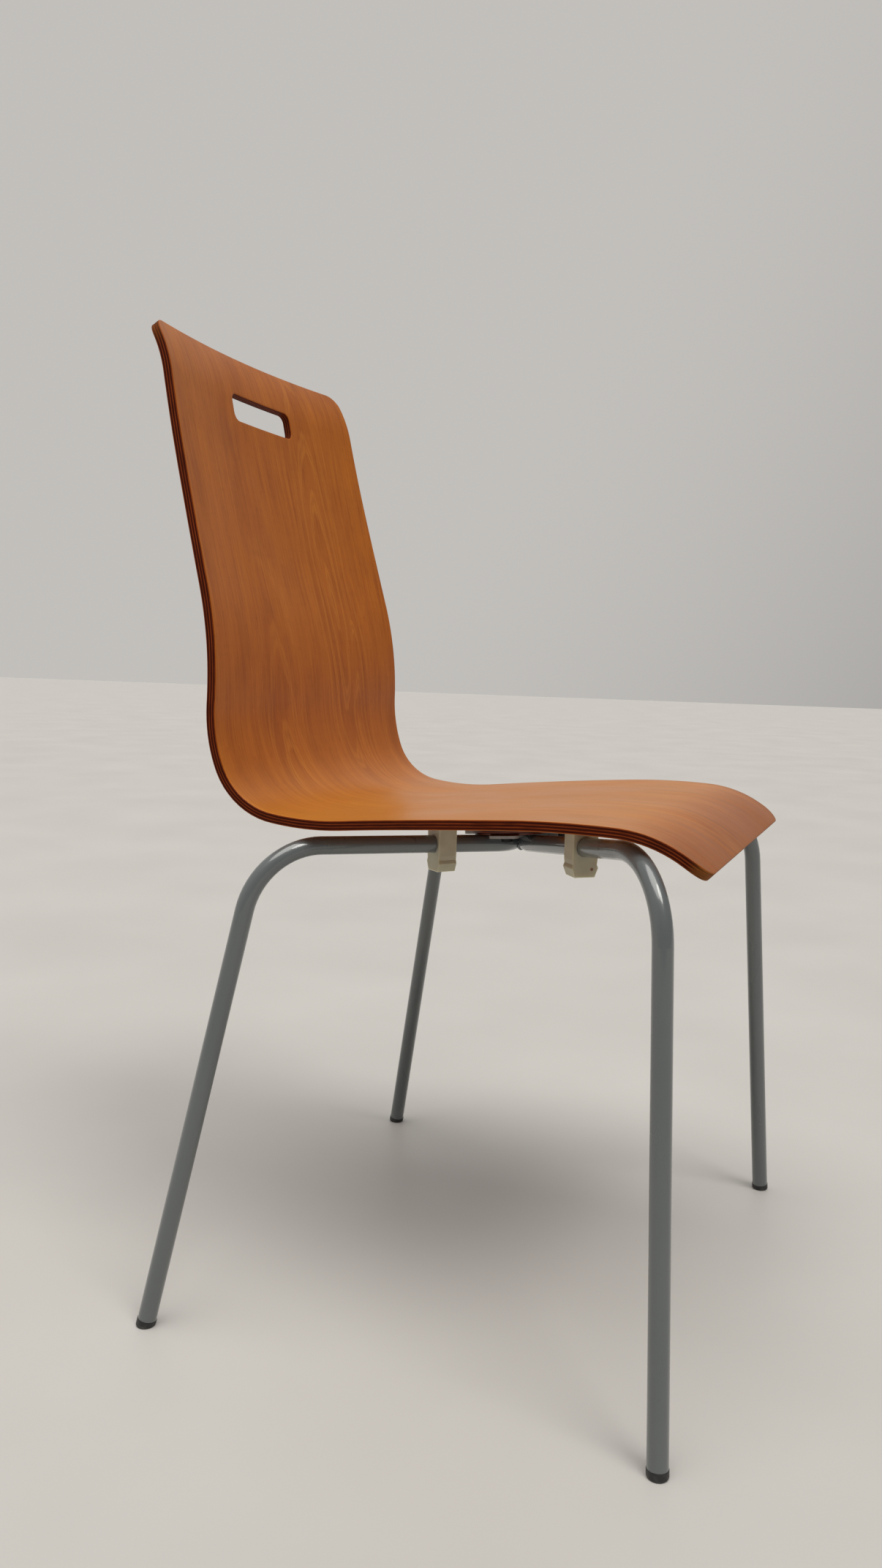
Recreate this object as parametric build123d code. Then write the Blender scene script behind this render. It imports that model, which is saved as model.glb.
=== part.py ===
from build123d import *
import math
import os

# Stacking chair: a moulded plywood shell on a frame of two bent steel tubes.
# Millimetres. +Z is up, the sitter faces -Y, and +X is the sitter's left side.
# The origin is on the floor, at the middle of the chair's width and depth.

# Shell
SHELL_THICKNESS = 8.5
SEAT_FRONT_Y = -261.6
SEAT_FRONT_Z = 419.7
SEAT_FRONT_SLOPE = 44.3
# The upper face in side view is a chain of tangent arcs from the seat's front
# edge to the top of the back: (length, turn in degrees, anticlockwise positive).
SHELL_ARCS = (
    (80.1, -41.6),   # rolled front edge
    (85.4, -6.8),    # crown over the thighs
    (150.0, -2.0),   # seat
    (67.9, 14.9),    # dish
    (62.6, 61.0),    # bend between seat and back
    (53.7, 22.3),    # lower back
    (104.6, -16.7),  # lumbar support
    (95.9, 0.5),     # back
    (91.2, 2.8),     # upper back
    (52.5, -24.2),   # top rolled away from the sitter
)
# Half width of the shell at distances along that line from the front edge.
HALF_WIDTHS = (
    (0.0, 192.5),
    (60.0, 194.5),
    (110.0, 196.5),
    (190.0, 193.0),
    (250.0, 187.5),
    (320.0, 180.5),
    (390.0, 180.5),
    (470.0, 183.0),
    (560.0, 179.5),
    (700.0, 172.5),
    (843.9, 165.3),
)
BACK_HOLLOW = 14.0          # how far the middle of the back lies behind its edges
HOLLOW_START = 400.0        # where the hollow begins, along the side view's line
HOLLOW_FULL = 650.0
TOP_CORNER_RADIUS = 15.0
FRONT_CORNER_RADIUS = 20.0
ROWS = 80                   # stations along the shell's length that shape its surface
COLUMNS = 11                # and points across its width at each of them
SMOOTHING = (1, 1, 1)       # weights of length, curvature and its change in the fit
SURFACE_DEGREE = 5
SLOT_CUT_DEPTH = 25.0       # of the block that cuts the hand slot, to each side

# Hand slot
SLOT_WIDTH = 107.0
SLOT_HEIGHT = 26.0
SLOT_CORNER = 7.5
SLOT_DISTANCE = 785.0       # its middle, along the side view's line

# Tubes
TUBE_DIAMETER = 16.0
TUBE_WALL = 1.5
REAR_FOOT = (253.0, 186.1, 0.0)         # where each left leg's centre line meets the floor
REAR_CORNER = (201.8, 109.3, 412.6)     # and where it would meet the arm's, with no bend
FRONT_FOOT = (257.0, -255.9, 0.0)
FRONT_CORNER = (211.5, -230.8, 437.2)
LEG_BEND_RADIUS = 66.0
TIP_BEND_RADIUS = 36.0
JOINT_Y = -51.9                         # where the two tubes touch, under the seat
JOINT_Z = 403.0

# Plate, spacer and fasteners
PLATE_SPAN = 106.0
PLATE_ARM_WIDTH = 28.0
PLATE_THICKNESS = 2.5
PLATE_LIFT = 2.0                        # room for the arms, which rise away from the joint
PLATE_CORNER = 4.0
SPACER_DIAMETER = 100.0
SPACER_CHAMFER = 2.0
GLUE_GAP = 0.5
SCREW_COUNT = 4
SCREW_CIRCLE_RADIUS = 41.0
SCREW_DIAMETER = 6.0
SCREW_LENGTH = 25.0
SCREW_HEAD_DIAMETER = 10.5
SCREW_HEAD_HEIGHT = 3.3
SCREW_HEAD_ROUND = 1.5
SCREW_SOCKET_RADIUS = 2.3
SCREW_SOCKET_DEPTH = 2.0
WASHER_DIAMETER = 12.0
WASHER_THICKNESS = 1.6
CLEARANCE_HOLE = 6.6
TEE_BARREL_DIAMETER = 8.0
TEE_BARREL_LENGTH = 9.0
TEE_FLANGE_DIAMETER = 19.0
TEE_FLANGE_THICKNESS = 1.5
FIT_GAP = 0.1

# Stack buffers
BUFFER_LENGTH = 18.0
BUFFER_REACH = {"rear": 87.0, "front": 142.0}  # from the V's sharp corner, along the arm
BUFFER_BELOW_TUBE = 16.0
BUFFER_HALF_WIDTH = 11.3
BUFFER_RIDGE_HALF_WIDTH = 12.0
BUFFER_NECK_HALF_WIDTH = 10.8
BUFFER_BASE_HALF_WIDTH = 9.0
BUFFER_RIDGE_HEIGHT = 7.5
BUFFER_NECK_HEIGHT = 10.5
BUFFER_SHOULDER_HEIGHT = 14.5
BUFFER_BLANK_HEIGHT = 80.0              # before its top is trimmed to the seat
BUFFER_ROUND = 0.8
SEAT_GAP = 0.3
TUBE_GAP = 0.05

# Foot glides
GLIDE_DIAMETER = 16.6
GLIDE_HEIGHT = 6.0                      # of the part below the tube, along the leg
GLIDE_ROUND = 1.8
GLIDE_STEM_DIAMETER = 12.4
GLIDE_STEM_LENGTH = 22.0
GLIDE_RIB_DIAMETER = 12.9
GLIDE_RIBS = 4
GLIDE_RIB_WIDTH = 1.2
GLIDE_RIB_PITCH = 4.5
GLIDE_FIRST_RIB = 4.0

# Welds
JOINT_BEAD_DIAMETER = 5.2
JOINT_BEAD_LENGTH = 16.0
JOINT_BEAD_OFFSET = 4.6                 # above and below the line where the tubes touch
PLATE_BEAD_DIAMETER = 6.0
PLATE_BEAD_LENGTH = 12.0
PLATE_BEAD_REACH = 20.0                 # from the V's sharp corner, along the arm

FAR = 1000.0                            # larger than the chair, for trimming blocks
SEARCH_STEP = 0.001                     # where the search for a point of the seat stops
SEARCH_ROUNDS = 30                      # enough to settle the tip of each V
UPRIGHT = 0.9                           # least vertical part of an upright edge's direction

TUBE_RADIUS = TUBE_DIAMETER / 2
BORE_RADIUS = TUBE_RADIUS - TUBE_WALL
SIDES = {"left": 1, "right": -1}
FEET = {"rear": REAR_FOOT, "front": FRONT_FOOT}
CORNERS = {"rear": REAR_CORNER, "front": FRONT_CORNER}
TOUCH_SIDE = {"rear": 1, "front": -1}


def side_view(distance):
    """Point (y, z) and slope in degrees of the shell's upper face at its edge."""
    y, z, slope = SEAT_FRONT_Y, SEAT_FRONT_Z, math.radians(SEAT_FRONT_SLOPE)
    left = distance
    for length, turn in SHELL_ARCS:
        step = min(left, length)
        bend = math.radians(turn) * step / length
        chord = step if abs(bend) < 1e-9 else step * math.sin(bend / 2) / (bend / 2)
        y += chord * math.cos(slope + bend / 2)
        z += chord * math.sin(slope + bend / 2)
        slope += bend
        left -= step
    return y, z, math.degrees(slope)


def shell_length():
    return sum(length for length, turn in SHELL_ARCS)


def half_width(distance):
    """Smooth curve through HALF_WIDTHS (Catmull-Rom)."""
    knots = HALF_WIDTHS
    i = max(k for k in range(len(knots) - 1) if knots[k][0] <= distance or k == 0)
    before, start = knots[max(i - 1, 0)], knots[i]
    end, after = knots[i + 1], knots[min(i + 2, len(knots) - 1)]
    span = end[0] - start[0]
    t = (distance - start[0]) / span
    rise_in = (end[1] - before[1]) / (end[0] - before[0]) * span
    rise_out = (after[1] - start[1]) / (after[0] - start[0]) * span
    return (
        (2 * t**3 - 3 * t**2 + 1) * start[1]
        + (t**3 - 2 * t**2 + t) * rise_in
        + (3 * t**2 - 2 * t**3) * end[1]
        + (t**3 - t**2) * rise_out
    )


def hollow(distance):
    """Depth of the back's hollow at its middle: none on the seat, full on the back."""
    t = (distance - HOLLOW_START) / (HOLLOW_FULL - HOLLOW_START)
    t = min(max(t, 0.0), 1.0)
    return BACK_HOLLOW * t * t * (3 - 2 * t)


def shell_point(distance, across):
    """Point of the shell's upper face. across runs from -1 to 1 over the width."""
    y, z, slope = side_view(distance)
    return Vector(across * half_width(distance), y + hollow(distance) * (1 - across**2), z)


def seat_underside(y_wanted):
    """Plane that touches the seat's lower face at a given y, with its normal upwards."""
    low, high = 0.0, shell_length() / 2
    while high - low > SEARCH_STEP:
        middle = (low + high) / 2
        y, z, slope = side_view(middle)
        if y < y_wanted:
            low = middle
        else:
            high = middle
    turn = math.radians(slope)
    height = z - SHELL_THICKNESS / math.cos(turn)
    return Plane(origin=(0, y_wanted, height), x_dir=(1, 0, 0), z_dir=(0, -math.sin(turn), math.cos(turn)))


def above(plane):
    """Block that fills all of the space on the upper side of a plane."""
    return plane * Pos(0, 0, FAR / 2) * Box(FAR, FAR, FAR)


def round_bar(plane, diameter, low, high):
    """Round bar along a plane's normal, between two heights above the plane."""
    return extrude(plane.offset(low) * Circle(diameter / 2), amount=high - low)


# ---------------------------------------------------------------- shell

def fitted_face(grid):
    """Smooth face through a grid of points. Its normals point to the shell's lower side."""
    return Face.make_surface_from_array_of_points(grid, smoothing=SMOOTHING, max_deg=SURFACE_DEGREE)


def upper_grid():
    length = shell_length()
    stations = [length * row / (ROWS - 1) for row in range(ROWS)]
    lines = [2 * column / (COLUMNS - 1) - 1 for column in range(COLUMNS)]
    return [[shell_point(station, line) for line in lines] for station in stations]


def border(face):
    """A shell face's four edges: front, top, left and right."""
    short_edges = face.edges().sort_by(Edge.length)[:2].sort_by(Axis.Z)
    long_edges = face.edges().sort_by(Edge.length)[2:].sort_by(Axis.X)
    return [*short_edges, *long_edges]


def square_shell():
    """The bent sheet before its corners are rounded: two fitted faces and four ruled edges."""
    grid = upper_grid()
    upper = fitted_face(grid)
    lower = fitted_face([[point + upper.normal_at(point) * SHELL_THICKNESS for point in row] for row in grid])
    edge_faces = [
        Face.make_surface_from_curves(above_edge, below_edge)
        for above_edge, below_edge in zip(border(upper), border(lower))
    ]
    return Solid(Shell([upper, lower, *edge_faces]))


def slot_cutter():
    """Rounded bar, square to the back, as wide and high as the hand slot."""
    y, z, slope = side_view(SLOT_DISTANCE)
    turn = math.radians(slope)
    plane = Plane(
        origin=(0, y + hollow(SLOT_DISTANCE), z),
        x_dir=(1, 0, 0),
        z_dir=(0, -math.sin(turn), math.cos(turn)),
    )
    outline = plane * RectangleRounded(SLOT_WIDTH, SLOT_HEIGHT, SLOT_CORNER)
    return extrude(outline, amount=SLOT_CUT_DEPTH, both=True)


def make_seat_shell():
    shell = square_shell()
    shell = shell.fillet(TOP_CORNER_RADIUS, shell.edges().sort_by(Edge.length)[:4].sort_by(Axis.Z)[2:])
    shell = shell.fillet(FRONT_CORNER_RADIUS, shell.edges().sort_by(Edge.length)[:8].sort_by(Axis.Z)[:2])
    return shell - slot_cutter()


# ---------------------------------------------------------------- tubes

def vee_corner(end):
    """Sharp corner of a tube's V, placed so that its rounded tip touches the joint."""
    corner_x, corner_y, corner_z = CORNERS[end]
    side = TOUCH_SIDE[end]
    tip_y = JOINT_Y + side * (TUBE_RADIUS + TUBE_GAP)
    y = tip_y
    for _ in range(SEARCH_ROUNDS):
        depth = math.dist((y, JOINT_Z), (corner_y, corner_z))
        half_angle = math.atan2(corner_x, depth)
        y = tip_y - side * TIP_BEND_RADIUS * (1 / math.sin(half_angle) - 1)
    return Vector(0, y, JOINT_Z)


def leg_points(end, side):
    """Floor point, upper corner and V corner of one leg's centre line."""
    foot_x, foot_y, foot_z = FEET[end]
    corner_x, corner_y, corner_z = CORNERS[end]
    foot = Vector(side * foot_x, foot_y, foot_z)
    corner = Vector(side * corner_x, corner_y, corner_z)
    return foot, corner, vee_corner(end)


def leg_axis(end, side):
    """Plane at a leg's floor point with its normal up the leg."""
    foot, corner, vee = leg_points(end, side)
    return Plane(origin=foot, z_dir=(corner - foot).normalized())


def tube_path(end):
    left = leg_points(end, SIDES["left"])
    right = leg_points(end, SIDES["right"])
    start = leg_axis(end, SIDES["left"]).offset(GLIDE_HEIGHT).origin
    finish = leg_axis(end, SIDES["right"]).offset(GLIDE_HEIGHT).origin
    radii = [LEG_BEND_RADIUS, TIP_BEND_RADIUS, LEG_BEND_RADIUS]
    return FilletPolyline(start, left[1], left[2], right[1], finish, radius=radii)


def bent_bar(end, radius):
    path = tube_path(end)
    section = leg_axis(end, SIDES["left"]).offset(GLIDE_HEIGHT) * Circle(radius)
    return sweep(section, path=path)


def make_leg_tube(end):
    return bent_bar(end, TUBE_RADIUS) - bent_bar(end, BORE_RADIUS)


# ---------------------------------------------------------------- feet

def make_foot_glide(end, side):
    axis = leg_axis(end, side)
    pad = round_bar(axis, GLIDE_DIAMETER, -GLIDE_DIAMETER, GLIDE_HEIGHT)
    pad = pad & above(Plane.XY)
    sole = pad.faces().sort_by(Axis.Z)[0]
    pad = fillet(sole.edges(), GLIDE_ROUND)
    glide = pad + round_bar(axis, GLIDE_STEM_DIAMETER, 0, GLIDE_HEIGHT + GLIDE_STEM_LENGTH)
    for rib in range(GLIDE_RIBS):
        low = GLIDE_HEIGHT + GLIDE_FIRST_RIB + rib * GLIDE_RIB_PITCH
        glide = glide + round_bar(axis, GLIDE_RIB_DIAMETER, low, low + GLIDE_RIB_WIDTH)
    return glide & above(Plane.XY)


# ---------------------------------------------------------------- stack buffers

def buffer_outline():
    """End view of a buffer, from its base up."""
    right = [
        (BUFFER_BASE_HALF_WIDTH, 0),
        (BUFFER_RIDGE_HALF_WIDTH, BUFFER_RIDGE_HEIGHT),
        (BUFFER_NECK_HALF_WIDTH, BUFFER_NECK_HEIGHT),
        (BUFFER_HALF_WIDTH, BUFFER_SHOULDER_HEIGHT),
        (BUFFER_HALF_WIDTH, BUFFER_BLANK_HEIGHT),
    ]
    left = [(-x, y) for x, y in reversed(right)]
    return make_face(Polyline(*right, *left, close=True))


def make_stack_buffer(end, side):
    foot, corner, vee = leg_points(end, side)
    arm = (corner - vee).normalized()
    middle = vee + arm * BUFFER_REACH[end]
    along = Vector(arm.X, arm.Y, 0).normalized()
    across = Vector(0, 0, 1).cross(along)
    base_height = middle.Z - TUBE_RADIUS - BUFFER_BELOW_TUBE
    base = Vector(middle.X, middle.Y, base_height)
    end_view = Plane(origin=base, x_dir=across, z_dir=across.cross(Vector(0, 0, 1)))
    block = extrude(end_view * buffer_outline(), amount=BUFFER_LENGTH / 2, both=True)
    block = block - above(seat_underside(middle.Y).offset(-SEAT_GAP))
    upright = [edge for edge in block.edges() if abs(edge.tangent_at(0.5).Z) > UPRIGHT]
    block = fillet(upright, BUFFER_ROUND)
    tube_axis = Plane(origin=middle, z_dir=arm)
    return block - round_bar(tube_axis, TUBE_DIAMETER + 2 * TUBE_GAP, -BUFFER_LENGTH, BUFFER_LENGTH)


# ---------------------------------------------------------------- plate, spacer, fasteners

def mount_plane():
    """Lower face of the plate: over the tubes' joint, and parallel to the seat."""
    seat = seat_underside(JOINT_Y)
    height = JOINT_Z + TUBE_RADIUS + PLATE_LIFT
    return Plane(origin=(0, JOINT_Y, height), x_dir=seat.x_dir, z_dir=seat.z_dir)


def spacer_thickness():
    gap = seat_underside(JOINT_Y).origin - mount_plane().origin
    return gap.dot(mount_plane().z_dir) - PLATE_THICKNESS - GLUE_GAP


def screw_axes():
    """Planes on the plate's lower face at the four screws."""
    plane = mount_plane()
    axes = []
    for index in range(SCREW_COUNT):
        angle = math.radians(360 * index / SCREW_COUNT)
        x = SCREW_CIRCLE_RADIUS * math.cos(angle)
        y = SCREW_CIRCLE_RADIUS * math.sin(angle)
        axes.append(Plane(origin=plane.from_local_coords((x, y, 0)), x_dir=plane.x_dir, z_dir=plane.z_dir))
    return axes


def make_cross_plate():
    outline = Rectangle(PLATE_SPAN, PLATE_ARM_WIDTH) + Rectangle(PLATE_ARM_WIDTH, PLATE_SPAN)
    outline = fillet(outline.vertices(), PLATE_CORNER)
    plate = extrude(mount_plane() * outline, amount=PLATE_THICKNESS)
    for axis in screw_axes():
        plate = plate - round_bar(axis, CLEARANCE_HOLE, -PLATE_THICKNESS, 2 * PLATE_THICKNESS)
    return plate


def make_spacer_disc():
    bottom = PLATE_THICKNESS
    top = bottom + spacer_thickness()
    spacer = round_bar(mount_plane(), SPACER_DIAMETER, bottom, top)
    lower_rim = spacer.faces().sort_by(Axis.Z)[0].edges()
    spacer = chamfer(lower_rim, SPACER_CHAMFER)
    for axis in screw_axes():
        spacer = spacer - round_bar(axis, TEE_BARREL_DIAMETER + 2 * FIT_GAP, 0, top + FIT_GAP)
        seat_of_flange = top - TEE_FLANGE_THICKNESS - FIT_GAP
        spacer = spacer - round_bar(axis, TEE_FLANGE_DIAMETER + 2 * FIT_GAP, seat_of_flange, top + FIT_GAP)
    return spacer


def make_tee_nuts():
    top = PLATE_THICKNESS + spacer_thickness()
    nuts = []
    for axis in screw_axes():
        flange = round_bar(axis, TEE_FLANGE_DIAMETER, top - TEE_FLANGE_THICKNESS, top)
        barrel = round_bar(axis, TEE_BARREL_DIAMETER, top - TEE_BARREL_LENGTH, top)
        thread = round_bar(axis, SCREW_DIAMETER + 2 * FIT_GAP, 0, top + FIT_GAP)
        nuts.append(flange + barrel - thread)
    return Compound([nut.solid() for nut in nuts])


def make_screw_washers():
    washers = []
    for axis in screw_axes():
        disc = round_bar(axis, WASHER_DIAMETER, -WASHER_THICKNESS, 0)
        hole = round_bar(axis, CLEARANCE_HOLE, -2 * WASHER_THICKNESS, WASHER_THICKNESS)
        washers.append(disc - hole)
    return Compound([washer.solid() for washer in washers])


def make_seat_screws():
    screws = []
    under_washer = -WASHER_THICKNESS
    head_bottom = under_washer - SCREW_HEAD_HEIGHT
    for axis in screw_axes():
        head = round_bar(axis, SCREW_HEAD_DIAMETER, head_bottom, under_washer)
        head = fillet(head.edges().sort_by(Axis.Z)[0], SCREW_HEAD_ROUND)
        shank = round_bar(axis, SCREW_DIAMETER, under_washer, under_washer + SCREW_LENGTH)
        hexagon = axis.offset(head_bottom) * RegularPolygon(SCREW_SOCKET_RADIUS, 6)
        screws.append(head + shank - extrude(hexagon, amount=SCREW_SOCKET_DEPTH))
    return Compound([screw.solid() for screw in screws])


def weld_bars():
    """Round bars where the weld beads lie, before they are trimmed."""
    half = JOINT_BEAD_LENGTH / 2
    bars = []
    for offset in (-JOINT_BEAD_OFFSET, JOINT_BEAD_OFFSET):
        joint_line = Plane(origin=(0, JOINT_Y, JOINT_Z + offset), z_dir=(1, 0, 0))
        bars.append(round_bar(joint_line, JOINT_BEAD_DIAMETER, -half, half))
    half = PLATE_BEAD_LENGTH / 2
    for end in CORNERS:
        for side in SIDES.values():
            foot, corner, vee = leg_points(end, side)
            arm = (corner - vee).normalized()
            crest = vee + arm * PLATE_BEAD_REACH + Vector(0, 0, TUBE_RADIUS)
            bars.append(round_bar(Plane(origin=crest, z_dir=arm), PLATE_BEAD_DIAMETER, -half, half))
    return bars


def make_frame_welds():
    """Beads between the tubes, below and above, and between each arm and the plate."""
    plate_hull = extrude(mount_plane() * Rectangle(PLATE_SPAN, PLATE_SPAN), amount=SPACER_DIAMETER)
    neighbours = [bent_bar("rear", TUBE_RADIUS), bent_bar("front", TUBE_RADIUS), plate_hull]
    welds = []
    for bead in weld_bars():
        for neighbour in neighbours:
            bead = bead - neighbour
        welds.append(bead.solids().sort_by(SortBy.VOLUME)[-1])
    return Compound(welds)


def make_parts():
    parts = {"seat_shell": make_seat_shell()}
    for end in ("rear", "front"):
        parts[end + "_leg_tube"] = make_leg_tube(end)
        for side_name, side in SIDES.items():
            parts["foot_glide_" + end + "_" + side_name] = make_foot_glide(end, side)
            parts["stack_buffer_" + end + "_" + side_name] = make_stack_buffer(end, side)
    parts["cross_plate"] = make_cross_plate()
    parts["spacer_disc"] = make_spacer_disc()
    parts["tee_nuts"] = make_tee_nuts()
    parts["screw_washers"] = make_screw_washers()
    parts["seat_screws"] = make_seat_screws()
    parts["frame_welds"] = make_frame_welds()
    return parts


def main():
    os.makedirs("parts", exist_ok=True)
    for name, part in make_parts().items():
        export_step(part, "parts/" + name + ".step")


if __name__ == "__main__":
    main()
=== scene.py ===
import math

import bmesh
import bpy
from mathutils import Matrix, Vector


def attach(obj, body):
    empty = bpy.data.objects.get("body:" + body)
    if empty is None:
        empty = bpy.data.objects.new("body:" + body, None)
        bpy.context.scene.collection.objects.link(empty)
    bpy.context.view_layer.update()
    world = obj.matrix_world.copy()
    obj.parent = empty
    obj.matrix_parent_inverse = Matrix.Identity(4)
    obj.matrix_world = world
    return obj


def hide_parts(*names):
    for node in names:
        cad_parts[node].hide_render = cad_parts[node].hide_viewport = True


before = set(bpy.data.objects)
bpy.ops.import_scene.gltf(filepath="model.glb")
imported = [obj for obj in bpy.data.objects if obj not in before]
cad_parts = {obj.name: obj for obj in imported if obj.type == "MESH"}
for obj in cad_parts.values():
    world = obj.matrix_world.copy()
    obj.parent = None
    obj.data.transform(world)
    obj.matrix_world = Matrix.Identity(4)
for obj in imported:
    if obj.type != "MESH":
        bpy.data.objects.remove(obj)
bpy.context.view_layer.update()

# Stacking chair: a moulded plywood shell on a frame of two bent steel tubes.
# Metres. +Z is up, the sitter faces -Y, and +X is the sitter's left side.

# ---------------------------------------------------------------- dimensions

SHELL_THICKNESS = 0.0085
SEAT_FRONT_Y = -0.2616
SEAT_FRONT_Z = 0.4197
SEAT_FRONT_SLOPE = 44.3
# The upper face in side view: (length, turn in degrees, anticlockwise positive).
SHELL_ARCS = (
    (0.0801, -41.6),
    (0.0854, -6.8),
    (0.1500, -2.0),
    (0.0679, 14.9),
    (0.0626, 61.0),
    (0.0537, 22.3),
    (0.1046, -16.7),
    (0.0959, 0.5),
    (0.0912, 2.8),
    (0.0525, -24.2),
)
# Half width of the sheet: (distance along the side view's line, half width).
HALF_WIDTHS = (
    (0.0, 0.1925),
    (0.060, 0.1945),
    (0.110, 0.1965),
    (0.190, 0.1930),
    (0.250, 0.1875),
    (0.320, 0.1805),
    (0.390, 0.1805),
    (0.470, 0.1830),
    (0.560, 0.1795),
    (0.700, 0.1725),
    (0.8439, 0.1653),
)
BACK_HOLLOW = 0.014             # depth of the back's hollow, across its width
HOLLOW_START = 0.400            # distance at which the hollow begins
HOLLOW_FULL = 0.650
TOP_CORNER_RADIUS = 0.015
FRONT_CORNER_RADIUS = 0.020
SLOT_WIDTH = 0.107
SLOT_HEIGHT = 0.026
SLOT_CORNER = 0.0075
SLOT_DISTANCE = 0.785           # to the middle of the slot
EASE = 0.0009                   # radius of the sanded edges
LENGTH = sum(length for length, turn in SHELL_ARCS)
SPACER_TILT = math.radians(-5.4)        # slope of the seat over the frame's joint

# Mesh of the shell.
COLUMNS = 88                    # quads across the shell
ROW = 0.0062                    # length of a row of quads
CORNER_STEPS = 10
EASE_STEPS = 4
WALL_STEPS = 7
SLOT_COLUMNS = 34               # quads of the rectangle that the slot's rings start from
SLOT_ROWS = 12
SLOT_MARGIN = 0.019             # half height of that rectangle
SLOT_ARC_STEPS = 3              # quads on half of one of the slot's corners
BAND_FRACTIONS = (0.66, 0.36, 0.15)     # rings between the flat part and the edge
SLOT_FRACTIONS = (0.62, 0.28)


# ---------------------------------------------------------------- shape of the shell

def side_view(distance):
    """Point (y, z) of the upper face at its edge, at a distance along the side view's line."""
    y, z, slope = SEAT_FRONT_Y, SEAT_FRONT_Z, math.radians(SEAT_FRONT_SLOPE)
    left = distance
    for length, turn in SHELL_ARCS:
        step = min(left, length)
        bend = math.radians(turn) * step / length
        chord = step if abs(bend) < 1e-9 else step * math.sin(bend / 2) / (bend / 2)
        y += chord * math.cos(slope + bend / 2)
        z += chord * math.sin(slope + bend / 2)
        slope += bend
        left -= step
    return y, z


def half_width(distance):
    """Smooth curve through HALF_WIDTHS (Catmull-Rom)."""
    knots = HALF_WIDTHS
    i = max(k for k in range(len(knots) - 1) if knots[k][0] <= distance or k == 0)
    before, start = knots[max(i - 1, 0)], knots[i]
    end, after = knots[i + 1], knots[min(i + 2, len(knots) - 1)]
    span = end[0] - start[0]
    t = (distance - start[0]) / span
    rise_in = (end[1] - before[1]) / (end[0] - before[0]) * span
    rise_out = (after[1] - start[1]) / (after[0] - start[0]) * span
    return (
        (2 * t**3 - 3 * t**2 + 1) * start[1]
        + (t**3 - 2 * t**2 + t) * rise_in
        + (3 * t**2 - 2 * t**3) * end[1]
        + (t**3 - t**2) * rise_out
    )


def upper_point(x, distance):
    """Point of the upper face, with the back's hollow."""
    y, z = side_view(distance)
    t = min(max((distance - HOLLOW_START) / (HOLLOW_FULL - HOLLOW_START), 0.0), 1.0)
    hollow = BACK_HOLLOW * t * t * (3 - 2 * t)
    return Vector((x, y + hollow * (1 - (x / half_width(distance)) ** 2), z))


def upper_normal(x, distance):
    """Unit normal of the upper face, towards the sitter."""
    step = 0.0002
    low, high = max(distance - step, 0.0), min(distance + step, LENGTH)
    along = upper_point(x, high) - upper_point(x, low)
    across = upper_point(x + step, distance) - upper_point(x - step, distance)
    return across.cross(along).normalized()


def edge_steps():
    """(inset, depth) pairs round an edge, from the upper face to the lower one."""
    turns = [math.pi / 2 * k / EASE_STEPS for k in range(EASE_STEPS + 1)]
    upper = [(EASE * (1 - math.sin(a)), EASE * (1 - math.cos(a))) for a in turns]
    wall_height = SHELL_THICKNESS - 2 * EASE
    wall = [(0.0, EASE + wall_height * k / WALL_STEPS) for k in range(1, WALL_STEPS)]
    lower = [(inset, SHELL_THICKNESS - depth) for inset, depth in reversed(upper)]
    return upper + wall + lower


class ShellMesh:
    """Gathers the shell's vertices and faces. Each vertex also keeps its place in the flat,
    unbent sheet: across, along and depth."""

    def __init__(self):
        self.points = []
        self.flat = []
        self.faces = []
        self.on_edge = []

    def vertex(self, x, distance, depth):
        self.points.append(upper_point(x, distance) - upper_normal(x, distance) * depth)
        self.flat.append((x, distance, depth))
        return len(self.points) - 1

    def face(self, corners, on_edge=False):
        kept = [c for i, c in enumerate(corners) if c != corners[i - 1]]
        if len(kept) > 2:
            self.faces.append(kept)
            self.on_edge.append(on_edge)

    def join(self, ring, next_ring, on_edge=False):
        for i in range(len(ring)):
            self.face([ring[i - 1], next_ring[i - 1], next_ring[i], ring[i]], on_edge)


def band_width(distance):
    """Width of the band between the flat part's grid and the long edges."""
    start, end = FRONT_CORNER_RADIUS, LENGTH - TOP_CORNER_RADIUS
    t = (distance - start) / (end - start)
    return FRONT_CORNER_RADIUS + (TOP_CORNER_RADIUS - FRONT_CORNER_RADIUS) * t


def grid_rows():
    """Distances of the flat part's rows. Two of them bound the rectangle round the slot."""
    marks = [
        (FRONT_CORNER_RADIUS, SLOT_DISTANCE - SLOT_MARGIN, None),
        (SLOT_DISTANCE - SLOT_MARGIN, SLOT_DISTANCE + SLOT_MARGIN, SLOT_ROWS),
        (SLOT_DISTANCE + SLOT_MARGIN, LENGTH - TOP_CORNER_RADIUS, None),
    ]
    rows = [FRONT_CORNER_RADIUS]
    for start, end, count in marks:
        count = count or round((end - start) / ROW)
        rows += [start + (end - start) * k / count for k in range(1, count + 1)]
    return rows


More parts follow.
